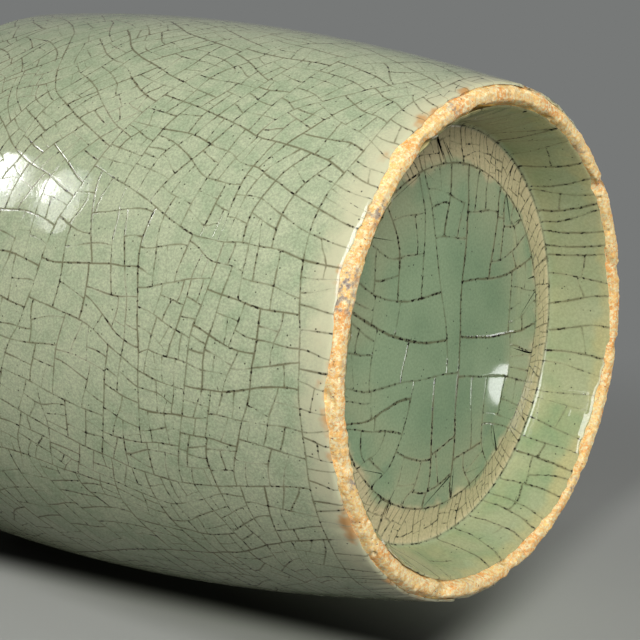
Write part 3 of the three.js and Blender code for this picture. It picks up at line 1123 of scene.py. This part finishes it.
class NodeTree:
    """Short ways to the nodes of a material or a world. Sizes of patterns are in metres."""

    def __init__(self, tree):
        self.tree = tree
        self.tree.nodes.clear()
        self.place = self.node("ShaderNodeTexCoord").outputs["Object"]

    def node(self, kind, inputs=(), **settings):
        made = self.tree.nodes.new(kind)
        for name, value in settings.items():
            setattr(made, name, value)
        for socket, value in dict(inputs).items():
            if isinstance(value, bpy.types.NodeSocket):
                self.tree.links.new(value, made.inputs[socket])
            else:
                made.inputs[socket].default_value = value
        return made

    def noise(self, size, detail=2.0, rough=0.5):
        inputs = {"Vector": self.place, "Scale": 1 / size, "Detail": detail, "Roughness": rough}
        return self.node("ShaderNodeTexNoise", inputs).outputs["Fac"]

    def clouds(self, size, low, high, start=0.0, end=1.0, detail=2.0, rough=0.5):
        """Noise, carried from two of its values to a start and an end."""
        return self.between(self.noise(size, detail, rough), low, high, start, end)

    def cells(self, size, feature="F1", place=None):
        inputs = {"Vector": place or self.place, "Scale": 1 / size}
        return self.node("ShaderNodeTexVoronoi", inputs, feature=feature)

    def warped(self, size, reach):
        """The place, pushed about by noise."""
        drift = self.node("ShaderNodeTexNoise", {"Vector": self.place, "Scale": 1 / size, "Detail": 2.0})
        inputs = {0: drift.outputs["Color"], 1: (2 * reach,) * 3, 2: self.place}
        return self.node("ShaderNodeVectorMath", inputs, operation="MULTIPLY_ADD").outputs[0]

    def attribute(self, name):
        return self.node("ShaderNodeAttribute", attribute_name=name).outputs["Fac"]

    def between(self, value, low, high, start=0.0, end=1.0):
        inputs = {"Value": value, "From Min": low, "From Max": high, "To Min": start, "To Max": end}
        made = self.node("ShaderNodeMapRange", inputs, interpolation_type="SMOOTHSTEP")
        return made.outputs["Result"]

    def math(self, operation, first, second=0.0):
        return self.node("ShaderNodeMath", {0: first, 1: second}, operation=operation).outputs[0]

    def times(self, first, second):
        return self.math("MULTIPLY", first, second)

    def plus(self, first, second):
        return self.math("ADD", first, second)

    def minus(self, first, second):
        return self.math("SUBTRACT", first, second)

    def mix(self, share, first, second, blend="MIX"):
        inputs = {0: share, 6: first, 7: second}
        return self.node("ShaderNodeMix", inputs, data_type="RGBA", blend_type=blend).outputs[2]

    def shaded(self, colour, share):
        return self.mix(1.0, colour, share, "MULTIPLY")

    def mix_shaders(self, share, first, second):
        return self.node("ShaderNodeMixShader", {0: share, 1: first.outputs[0], 2: second.outputs[0]})

    def along(self):
        """The height, and the distance from the vase's axis."""
        split = self.node("ShaderNodeSeparateXYZ", {0: self.place})
        x, y = (self.times(split.outputs[i], split.outputs[i]) for i in (0, 1))
        return split.outputs[2], self.math("SQRT", self.plus(x, y))


class Paint(NodeTree):
    """A material."""

    def __init__(self, name):
        self.material = bpy.data.materials.new(name)
        self.material.use_nodes = True
        super().__init__(self.material.node_tree)

    def finish(self, colour, roughness, height, depth, **constants):
        bump = self.node("ShaderNodeBump", {"Height": height, "Strength": 1.0, "Distance": depth})
        inputs = {"Base Color": colour, "Roughness": roughness, "Normal": bump.outputs[0]}
        return self.shown(self.node("ShaderNodeBsdfPrincipled", {**inputs, **constants}))

    def shown(self, shader):
        self.node("ShaderNodeOutputMaterial", {"Surface": shader.outputs[0]})
        return self.material


def crackled(paint, colour, settings, dotted=0.5, moulded=False):
    """Lays the cracks' stain, and a painted pale highlight beside some of them, over a glaze's colour.
    Returns the colour and the line itself.
    """
    if moulded:
        warped = paint.warped(7 * MM, 1.6 * MM)
        apart = paint.cells(5.5 * MM, "DISTANCE_TO_EDGE", warped).outputs["Distance"]
        crack = paint.between(apart, 0.0, 0.055, 0.8, 0.0)
    else:
        crack = paint.attribute("crack")
    uneven = paint.clouds(3.2 * MM, 0.3, 0.7, -0.2, 0.12, detail=4, rough=0.7)
    line = paint.between(paint.plus(crack, uneven), 0.16, 0.92)
    # Painted highlight: pale glints beside some cracks, in patches.
    pale = paint.times(paint.between(crack, 0.02, 0.4), paint.clouds(16 * MM, 0.52, 0.66, 0.0, 0.3))
    colour = paint.mix(pale, colour, settings.crack_painted_glint)
    tone = paint.mix(paint.noise(9 * MM), settings.crack, settings.crack_dark)
    colour = paint.mix(paint.times(line, 0.86 - 0.16 * dotted), colour, tone)
    specks = paint.clouds(0.75 * MM, 0.62 - 0.1 * dotted, 0.7 - 0.04 * dotted, detail=1)
    near = paint.between(crack, 0.3, 0.6)
    colour = paint.mix(paint.times(specks, near), colour, settings.speck)
    pits = paint.cells(1.4 * MM)
    small = paint.between(pits.outputs["Distance"], 0.06, 0.14, 0.9, 0.0)
    rare = paint.between(pits.outputs["Color"], 0.60, 0.64)
    return paint.mix(paint.times(small, rare), colour, settings.speck), line


def body_paint(settings, name="celadon_glaze", moulded=False):
    paint = Paint(name)
    height = paint.along()[0]
    colour = paint.mix(paint.clouds(22 * MM, 0.35, 0.65, detail=3), settings.body, settings.body_dark)
    paler = paint.clouds(3 * MM, 0.35, 0.65, 0, 0.55, detail=3)
    colour = paint.mix(paler, colour, settings.body_light)
    grain = paint.clouds(0.42 * MM, 0.3, 0.7, 0.78, 1.16, detail=3, rough=0.8)
    colour = paint.shaded(colour, grain)
    colour = paint.shaded(colour, paint.between(height, 45 * MM, 110 * MM, 1.0, 0.88))
    from_foot = paint.plus(height, paint.clouds(5 * MM, 0.2, 0.8, -1.6 * MM, 1.6 * MM, detail=3))
    thin = paint.between(from_foot, 2.2 * MM, 8.5 * MM, 0.85, 0.0)
    colour = paint.mix(thin, colour, settings.foot)
    edge = paint.between(from_foot, 1.2 * MM, 3.4 * MM, 1.0, 0.0)
    burnt = paint.times(edge, paint.clouds(6 * MM, 0.48, 0.62, detail=3))
    colour = paint.mix(burnt, colour, settings.tint)
    if moulded:
        colour = paint.mix(paint.attribute("pooled"), colour, settings.pooled)
        high = paint.node("ShaderNodeNewGeometry").outputs["Pointiness"]
        colour = paint.mix(paint.between(high, 0.51, 0.56, 0, 0.6), colour, settings.foot)
    colour, line = crackled(paint, colour, settings, moulded=moulded)
    roughness = paint.clouds(7 * MM, 0.3, 0.7, 0.04, 0.08)
    waves = paint.times(paint.noise(6 * MM), 0.6)
    relief = paint.plus(waves, paint.times(paint.noise(0.8 * MM), 0.12))
    relief = paint.minus(relief, paint.times(line, 0.3))
    return paint.finish(colour, roughness, relief, 0.06 * MM, IOR=1.5)


def ear_paint(settings):
    """The body's glaze, with cracks drawn by cells, because the ears are moulded in one skin."""
    return body_paint(settings, "celadon_glaze_ears", moulded=True)


def recess_paint(settings):
    paint = Paint("recess_glaze")
    height, radius = paint.along()
    green = paint.mix(paint.clouds(18 * MM, 0.35, 0.65, detail=3), settings.floor, settings.floor_dark)
    wall = paint.mix(paint.clouds(9 * MM, 0.35, 0.65), settings.wall, settings.wall_dark)
    on_wall = paint.between(radius, RECESS_RADIUS - 0.7 * MM, RECESS_RADIUS)
    colour = paint.mix(on_wall, green, wall)
    near_band = paint.between(radius, 14 * MM, 30 * MM, 0.0, 0.7)
    aside = paint.times(near_band, paint.clouds(13 * MM, 0.35, 0.6))
    colour = paint.mix(aside, colour, settings.floor_edge)
    uneven = paint.clouds(6 * MM, 0.2, 0.8, -1.5 * MM, 1.5 * MM, detail=3)
    wide = paint.plus(radius, uneven)
    band = paint.times(
        paint.between(wide, BAND_RADIUS - 1.2 * MM, BAND_RADIUS + 1 * MM),
        paint.between(radius, RECESS_RADIUS - 0.9 * MM, RECESS_RADIUS - 0.2 * MM, 1.0, 0.0),
    )
    colour = paint.mix(paint.times(band, 0.85), colour, settings.band)
    thin = paint.between(paint.plus(height, uneven), 1.2 * MM, 4.5 * MM, 0.7, 0.0)
    colour = paint.mix(thin, colour, settings.foot)
    colour = paint.shaded(colour, paint.clouds(0.5 * MM, 0.3, 0.7, 0.9, 1.08, rough=0.7))
    colour, line = crackled(paint, colour, settings, 1.0)
    roughness = paint.clouds(7 * MM, 0.3, 0.7, 0.03, 0.07)
    relief = paint.minus(paint.times(paint.noise(9 * MM, 1), 0.7), line)
    return paint.finish(colour, roughness, relief, 0.02 * MM, IOR=1.5)


def clay_paint(settings):
    paint = Paint("bare_clay")
    colour = paint.mix(paint.clouds(5 * MM, 0.42, 0.72, detail=3), settings.ochre, settings.orange)
    pale = paint.clouds(0.7 * MM, 0.44, 0.6, detail=4, rough=0.8)
    colour = paint.mix(pale, colour, settings.pale)
    grey = paint.times(paint.clouds(9 * MM, 0.55, 0.68), paint.clouds(1.2 * MM, 0.42, 0.58, detail=3))
    colour = paint.mix(grey, colour, settings.grey)
    dark = paint.clouds(0.6 * MM, 0.61, 0.73, detail=3, rough=0.7)
    colour = paint.mix(dark, colour, settings.dark)
    colour = paint.shaded(colour, paint.clouds(0.4 * MM, 0.3, 0.7, 0.9, 1.42, detail=3, rough=0.8))
    return paint.finish(colour, 0.85, paint.noise(0.5 * MM, 3, 0.8), 0.12 * MM)


def table_paint(settings):
    """The grey table that the vase lies against. It fades into the backdrop behind it.

    It carries a painted shadow along the vase, and its reflection in the glaze is painted dimmer than the
    table is.
    Where it stands above the floor, it shows only to a view from below the floor.
    """
    paint = Paint("grey_table")
    x, _, z = paint.node("ShaderNodeSeparateXYZ", {0: paint.place}).outputs
    colour = paint.mix(paint.noise(90 * MM, 3), settings.table, settings.table_dark)
    # Painted shadow: a dark strip on the table along the vase, inside two slanted edges, weaker further
    # along x.
    sideways = paint.plus(x, paint.times(z, 0.45))
    upwards = paint.minus(z, paint.times(x, 0.25))
    under = paint.times(
        paint.between(sideways, 12 * MM, 28 * MM), paint.between(upwards, 5 * MM, 20 * MM)
    )
    depth = paint.between(x, 0.0, 100 * MM, 0.98, 0.3)
    rays = paint.node("ShaderNodeLightPath").outputs
    lit = paint.minus(1.0, paint.times(under, depth))
    # Painted shade: every ray but the camera's sees the table at 0.3 of its colour, so the glaze reflects
    # it darker.
    lit = paint.times(lit, paint.between(rays["Is Camera Ray"], 0.0, 1.0, 0.3, 1.0))
    cloth = paint.node("ShaderNodeBsdfDiffuse", {"Color": paint.shaded(colour, lit)})
    haze = paint.node("ShaderNodeEmission", {"Color": settings.backdrop_dark})
    clear = paint.node("ShaderNodeBsdfTransparent")
    places = {0: paint.place, 1: (0, BELLY_RADIUS, 0)}
    away = paint.node("ShaderNodeVectorMath", places, operation="DISTANCE").outputs["Value"]
    far = paint.times(paint.between(away, TABLE_NEAR, TABLE_FAR), rays["Is Camera Ray"])
    faded = paint.mix_shaders(far, cloth, haze)
    above = paint.math("GREATER_THAN", z, 0.0)
    first = paint.math("LESS_THAN", rays["Transparent Depth"], 0.5)
    hidden = paint.times(paint.times(above, first), rays["Is Camera Ray"])
    return paint.shown(paint.mix_shaders(hidden, faded, clear))


def floor_paint(settings):
    """A pale floor that is seen from above only."""
    paint = Paint("pale_floor")
    colour = paint.mix(paint.noise(400 * MM), settings.floor, settings.floor_shade)
    matt = paint.node("ShaderNodeBsdfDiffuse", {"Color": colour})
    haze = paint.node("ShaderNodeEmission", {"Color": settings.backdrop})
    away = paint.node("ShaderNodeVectorMath", {0: paint.place}, operation="LENGTH").outputs["Value"]
    faded = paint.mix_shaders(paint.between(away, FLOOR_NEAR, FLOOR_FAR), matt, haze)
    clear = paint.node("ShaderNodeBsdfTransparent")
    back = paint.node("ShaderNodeNewGeometry").outputs["Backfacing"]
    return paint.shown(paint.mix_shaders(back, faded, clear))


def stage_plane(name, size, matrix, material):
    bm = bmesh.new()
    bmesh.ops.create_grid(bm, x_segments=1, y_segments=1, size=size / 2, matrix=matrix)
    mesh = bpy.data.meshes.new(name)
    bm.to_mesh(mesh)
    bm.free()
    mesh.materials.append(material)
    plane = bpy.data.objects.new(name, mesh)
    bpy.context.scene.collection.objects.link(plane)
    return plane


def lamp(name, azimuth, elevation, distance, size, power, high=None, shape="RECTANGLE"):
    """A soft lamp that faces the foot from an azimuth and elevation in degrees."""
    light = bpy.data.lights.new(name, "AREA")
    light.shape, light.size, light.size_y, light.energy = shape, size, high or size, power
    turn, rise = math.radians(azimuth), math.radians(elevation)
    back = Vector((math.sin(turn) * math.cos(rise), -math.cos(turn) * math.cos(rise), math.sin(rise)))
    holder = bpy.data.objects.new(name, light)
    bpy.context.scene.collection.objects.link(holder)
    holder.matrix_world = Matrix.LocRotScale(
        Vector((0, 0, LAMP_AIM)) + back * distance, (-back).to_track_quat("-Z", "Y"), None
    )
    holder.visible_camera = False
    return holder


def studio(settings):
    """The table, the floor, the lamps and the even light round them."""
    slope = math.atan(TABLE_SLOPE)
    upright = Matrix.Rotation(math.pi / 2 + slope, 4, "X")
    stand = Matrix.Translation((0, BELLY_RADIUS + 0.4 * MM, CORNER_BASE)) @ upright
    table = stage_plane("table", STAGE_WIDTH, stand, table_paint(settings))
    table.visible_shadow = table.visible_diffuse = False
    floor = stage_plane("floor", STAGE_WIDTH, Matrix.Identity(4), floor_paint(settings))
    floor.visible_diffuse = floor.visible_glossy = floor.visible_shadow = False
    floor.visible_transmission = False
    lamp("front", -50, -39, 0.8, 0.4, settings.front)
    lamp("under", -66, -60, 0.7, 0.26, settings.under)
    for azimuth, elevation, share, width, high in WINDOWS:
        lamp("window", azimuth, elevation, 0.9, width, settings.window * share, high, "ELLIPSE")
    only_recess = bpy.data.collections.new("lit_by_panes")
    only_recess.objects.link(bpy.data.objects["recess_glaze_disc"])
    past_ring = bpy.data.collections.new("shades_panes")
    past_ring.objects.link(table)
    for elevation, share, high in PANES:
        pane = lamp("pane", -62.6, elevation, 0.9, 0.29, settings.pane * share, high)
        pane.light_linking.receiver_collection = only_recess
        pane.light_linking.blocker_collection = past_ring
    lamp("glint", 100.8, -31.3, 0.35, 0.019, settings.glint, shape="ELLIPSE")
    lamp("overhead", 170, 86, 0.9, 0.6, settings.overhead)
    lamp("right", 95, 12, 1.1, 0.7, settings.right)
    lamp("back", 128, 22, 1.1, 0.7, settings.back)
    bpy.context.scene.view_settings.view_transform = "Standard"
    world = bpy.data.worlds.new("even_light")
    world.use_nodes = True
    bpy.context.scene.world = world
    paint = NodeTree(world.node_tree)
    generated = paint.node("ShaderNodeTexCoord").outputs["Generated"]
    upwards = paint.node("ShaderNodeSeparateXYZ", {0: generated})
    climb = paint.between(upwards.outputs[2], 0.2, 0.4)
    seen = paint.mix(climb, settings.backdrop, settings.backdrop_dark)
    even = paint.mix(climb, settings.ambient, settings.ceiling)
    plain = paint.node("ShaderNodeBackground", {"Color": even})
    view = paint.node("ShaderNodeBackground", {"Color": seen})
    rays = paint.node("ShaderNodeLightPath").outputs
    both = paint.mix_shaders(rays["Is Camera Ray"], plain, view)
    paint.node("ShaderNodeOutputWorld", {"Surface": both.outputs[0]})


def camera():
    """The camera that looks up at the foot."""
    data = bpy.data.cameras.new("camera")
    data.lens, data.sensor_width = CAMERA_LENS, CAMERA_SENSOR
    data.clip_start, data.clip_end = 0.01, 20
    right, up = Vector(CAMERA_RIGHT), Vector(CAMERA_UP)
    turned = Matrix((right, up, right.cross(up))).transposed().to_4x4()
    holder = bpy.data.objects.new("camera", data)
    holder.matrix_world = Matrix.Translation(CAMERA_PLACE) @ turned
    bpy.context.scene.collection.objects.link(holder)
    bpy.context.scene.camera = holder


# The add-on


def colour_property(name, red, green, blue, description):
    return bpy.props.FloatVectorProperty(
        name=name, description=description, subtype="COLOR", size=4, min=0, max=1,
        default=srgb(red, green, blue),
    )


def power_property(name, watts, description):
    return bpy.props.FloatProperty(name=name, description=description, default=watts, min=0, unit="POWER")


class VaseGlaze(bpy.types.PropertyGroup):
    """Colours of the glaze on the outside"""

    body: colour_property("Glaze", 200, 210, 172, "Main colour of the outside")
    body_dark: colour_property("Glaze, deeper", 184, 199, 160, "Where the glaze is thicker")
    body_light: colour_property("Glaze, paler", 214, 220, 182, "Small paler clouds in the glaze")
    pooled: colour_property("Glaze, pooled", 140, 158, 122, "Glaze that gathered in grooves")
    foot: colour_property("Foot glaze", 234, 230, 190, "Thin glaze close to the bare clay")
    tint: colour_property("Burnt tint", 226, 174, 112, "Stains at the glaze's lower edge")
    crack: colour_property("Crack", 126, 116, 78, "Stain in the cracks")
    crack_dark: colour_property("Crack, darker", 92, 84, 55, "Stain in the darkest cracks")
    # A painted highlight beside some cracks
    crack_painted_glint: colour_property("Crack's edge", 224, 222, 190, "Pale light beside some cracks")
    speck: colour_property("Speck", 52, 47, 34, "Dark pinholes")


class VaseRecess(bpy.types.PropertyGroup):
    """Colours of the glaze in the foot's recess"""

    floor: colour_property("Recess floor", 158, 180, 142, "Main colour of the recess's floor")
    floor_dark: colour_property("Recess floor, deeper", 141, 166, 130, "Deeper clouds of the floor")
    floor_edge: colour_property("Recess floor, paler", 184, 190, 150, "Paler clouds near the band")
    wall: colour_property("Recess wall", 182, 188, 141, "Main colour of the recess's wall")
    wall_dark: colour_property("Recess wall, deeper", 154, 175, 131, "Deeper clouds of the wall")
    band: colour_property("Band", 224, 208, 164, "Pale band round the floor")
    foot: colour_property("Edge", 206, 196, 140, "Thin glaze close to the bare clay")
    crack: colour_property("Crack", 112, 102, 68, "Stain in the cracks")
    crack_dark: colour_property("Crack, darker", 78, 72, 48, "Stain in the darkest cracks")
    # A painted highlight beside some cracks
    crack_painted_glint: colour_property("Crack's edge", 190, 186, 150, "Pale light beside some cracks")
    speck: colour_property("Speck", 44, 42, 32, "Dark pinholes")


class VaseClay(bpy.types.PropertyGroup):
    """Colours of the bare clay"""

    ochre: colour_property("Ochre", 255, 210, 132, "Main colour of the clay")
    orange: colour_property("Orange", 246, 168, 84, "Clay that burnt orange")
    pale: colour_property("Pale grit", 255, 238, 188, "Pale grains")
    grey: colour_property("Grey", 164, 152, 142, "Worn grey patches")
    dark: colour_property("Dark grit", 128, 84, 52, "Dark grains")


class VaseStage(bpy.types.PropertyGroup):
    """The table, the floor and the lamps"""

    table: colour_property("Table", 192, 193, 189, "Colour of the table")
    table_dark: colour_property("Table, darker", 186, 187, 182, "Darker clouds of the table")
    floor: colour_property("Floor", 214, 214, 212, "Colour of the pale floor")
    floor_shade: colour_property("Floor, darker", 206, 206, 204, "Darker clouds of the floor")
    backdrop: colour_property("Backdrop", 206, 208, 208, "Background above the floor")
    backdrop_dark: colour_property("Backdrop, dark", 119, 121, 120, "Background seen past the table")
    ambient: colour_property("Even light", 66, 67, 68, "Light from all round")
    ceiling: colour_property("Light from above", 116, 117, 118, "Even light from above")
    front: power_property("Front lamp", 4.4, "Soft lamp that lights the foot and the barrel")
    under: power_property("Under lamp", 1.0, "Soft lamp that lights the foot's rest face")
    window: power_property("Window", 0.27, "Lamps that show as two highlights on the barrel")
    pane: power_property("Pane", 0.24, "Three lamps that show as streaks on the recess's wall")
    glint: power_property("Glint", 0.0055, "Small lamp that shows on the recess's floor")
    overhead: power_property("Overhead lamp", 3.6, "Soft lamp above the vase as it stands")
    right: power_property("Right lamp", 4.6, "Soft lamp on the side of the right ear")
    back: power_property("Back lamp", 3.8, "Soft lamp behind the vase")


class VASE_OT_body(bpy.types.Operator):
    """Build the glazed barrel, shoulder, neck and dish"""

    bl_idname = "vase.body"
    bl_label = "Body"

    def execute(self, context):
        vase_body({"glaze": body_paint(context.scene.vase_glaze)})
        return {"FINISHED"}


class VASE_OT_recess(bpy.types.Operator):
    """Build the glazed recess under the vase"""

    bl_idname = "vase.recess"
    bl_label = "Recess"

    def execute(self, context):
        recess_piece({"recess": recess_paint(context.scene.vase_recess)})
        return {"FINISHED"}


class VASE_OT_foot(bpy.types.Operator):
    """Build the bare foot ring"""

    bl_idname = "vase.foot"
    bl_label = "Foot ring"

    def execute(self, context):
        foot_piece({"clay": clay_paint(context.scene.vase_clay)})
        return {"FINISHED"}


class VASE_OT_ears(bpy.types.Operator):
    """Build the two phoenix ears"""

    bl_idname = "vase.ears"
    bl_label = "Phoenix ears"

    def execute(self, context):
        phoenix_ears({"ear": ear_paint(context.scene.vase_glaze)})
        return {"FINISHED"}


class VASE_OT_stage(bpy.types.Operator):
    """Set up the table, the floor, the lamps and the camera"""

    bl_idname = "vase.stage"
    bl_label = "Stage"

    def execute(self, context):
        studio(context.scene.vase_stage)
        camera()
        return {"FINISHED"}


class VASE_PT_sidebar(bpy.types.Panel):
    """Lists the vase's pieces and their settings"""

    bl_label = "Phoenix-eared vase"
    bl_idname = "VASE_PT_sidebar"
    bl_space_type = "VIEW_3D"
    bl_region_type = "UI"
    bl_category = "Vase"

    def draw(self, context):
        for operator in OPERATORS:
            self.layout.operator(operator.bl_idname)
        for name in GROUPS:
            box = self.layout.box()
            group = getattr(context.scene, name)
            for key in group.__annotations__:
                box.prop(group, key)


GROUPS = {
    "vase_glaze": VaseGlaze, "vase_recess": VaseRecess, "vase_clay": VaseClay, "vase_stage": VaseStage,
}
OPERATORS = (VASE_OT_body, VASE_OT_recess, VASE_OT_foot, VASE_OT_ears, VASE_OT_stage)
CLASSES = (*GROUPS.values(), *OPERATORS, VASE_PT_sidebar)


def register():
    for item in CLASSES:
        bpy.utils.register_class(item)
    for name, group in GROUPS.items():
        setattr(bpy.types.Scene, name, bpy.props.PointerProperty(type=group))


def unregister():
    for name in GROUPS:
        delattr(bpy.types.Scene, name)
    for item in reversed(CLASSES):
        bpy.utils.unregister_class(item)


def main():
    for spare in list(bpy.data.objects):
        if spare.name in ("Cube", "Light", "Camera"):
            bpy.data.objects.remove(spare)
    register()
    bpy.ops.vase.body()
    bpy.ops.vase.recess()
    bpy.ops.vase.foot()
    bpy.ops.vase.ears()
    bpy.ops.vase.stage()


if __name__ == "__main__":
    main()
